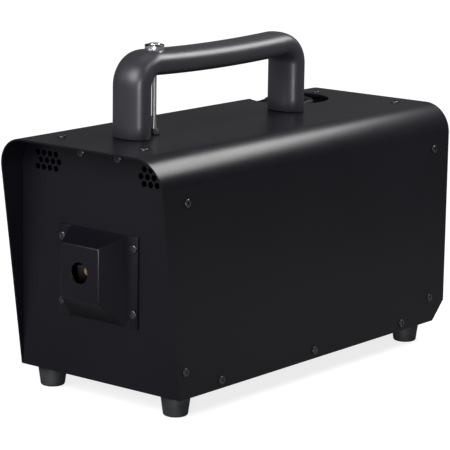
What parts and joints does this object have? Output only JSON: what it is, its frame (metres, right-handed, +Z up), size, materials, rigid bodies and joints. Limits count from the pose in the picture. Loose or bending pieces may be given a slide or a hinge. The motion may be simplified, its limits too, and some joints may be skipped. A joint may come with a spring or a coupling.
{
  "type": "fog machine",
  "caption": "Portable fog machine in a folded black case with a bridge handle, thumb trigger, hooded front nozzle, top filler cap and rear controls.",
  "frame": {"origin": "middle of the bounding box in X and Y, at the height of the feet's soles", "axes": "+Z up, -Y the way the nozzle blows, +Y the control panel, +X the machine's right side seen from behind"},
  "size_m": [0.18, 0.4054, 0.295],
  "materials": {
    "powder_coat": "satin black fine-texture powder coat",
    "black_screw": "black oxide pan heads",
    "rubber": "matt moulded",
    "handle_grey": "satin dark grey moulding",
    "bare_steel": "plain zinc-plated",
    "chrome": "polished",
    "aluminium": "cast and machined",
    "brass": "turned",
    "wool": "pressed mineral wool",
    "black_plastic": "moulded",
    "natural_plastic": "blow-moulded, milky",
    "hose": "smooth hose",
    "battery_grey": "shrink-wrapped pack",
    "board_green": "solder mask",
    "lamp_green": "clear tinted lens"
  },
  "bodies": {
    "machine": {"cover": "powder_coat", "chassis_tray": "powder_coat", "front_panel": "powder_coat", "rear_panel": "powder_coat", "nozzle_cover": "powder_coat", "top_screw_1": "black_screw", "top_screw_2": "black_screw", "top_screw_3": "black_screw", "top_screw_4": "black_screw", "panel_screw_1": "black_screw", "panel_screw_2": "black_screw", "nozzle_cover_screw_1": "black_screw", "nozzle_cover_screw_2": "black_screw", "nozzle_cover_screw_3": "black_screw", "nozzle_cover_screw_4": "black_screw", "right_screw_1": "black_screw", "right_screw_2": "black_screw", "right_screw_3": "black_screw", "right_screw_4": "black_screw", "left_screw_1": "black_screw", "left_screw_2": "black_screw", "left_screw_3": "black_screw", "left_screw_4": "black_screw", "foot_1": "rubber", "foot_2": "rubber", "foot_3": "rubber", "foot_4": "rubber", "conduit_grommet": "rubber", "pump_saddle": "rubber", "handle": "handle_grey", "handle_bolt_front": "bare_steel", "handle_bolt_rear": "bare_steel", "trigger_conduit": "bare_steel", "heater_cartridge": "bare_steel", "heater_jacket": "bare_steel", "heater_stand": "bare_steel", "battery_strap": "bare_steel", "output_pot": "bare_steel", "trigger_housing": "chrome", "heater_block": "aluminium", "nozzle": "brass", "heater_insulation": "wool", "thermostat": "black_plastic", "pump_body": "black_plastic", "switch_housing": "black_plastic", "remote_socket": "black_plastic", "charge_inlet": "black_plastic", "fuse_holder": "black_plastic", "fluid_tank": "natural_plastic", "feed_tube": "hose", "suction_tube": "hose", "battery_pack": "battery_grey", "control_board": "board_green", "power_lamp": "lamp_green"},
    "trigger": {"trigger_button": "chrome"},
    "rocker": {"switch_rocker": "black_plastic"},
    "dial": {"output_knob": "black_plastic"},
    "plug": {"filler_plug": "rubber"},
    "cap": {"tank_cap": "black_plastic"},
    "piston": {"pump_piston": "bare_steel"}
  },
  "joints": [
    {"name": "trigger_press", "type": "slide", "parent": "machine", "child": "trigger", "axis": [0, 0, -1], "range_m": [0, 0.001], "stiffness_N_per_m": 400, "springref_m": -0.002},
    {"name": "rocker_tip", "type": "hinge", "parent": "machine", "child": "rocker", "pos_m": [0.052, 0.18575, 0.1686], "axis": [1, 0, 0], "range_deg": [0, 16]},
    {"name": "dial_turn", "type": "hinge", "parent": "machine", "child": "dial", "pos_m": [0.008, 0.18575, 0.1686], "axis": [0, 1, 0], "range_deg": [0, 300]},
    {"name": "cap_lift", "type": "slide", "parent": "machine", "child": "plug", "axis": [0, 0, 1], "range_m": [0, 0.035]},
    {"name": "cap_turn", "type": "hinge", "parent": "plug", "child": "cap", "pos_m": [-0.043, 0.132, 0.2136], "axis": [0, 0, 1], "range_deg": [0, 360]},
    {"name": "piston_stroke", "type": "slide", "parent": "machine", "child": "piston", "axis": [0, 1, 0], "range_m": [-0.0015, 0.0015], "stiffness_N_per_m": 800}
  ]
}
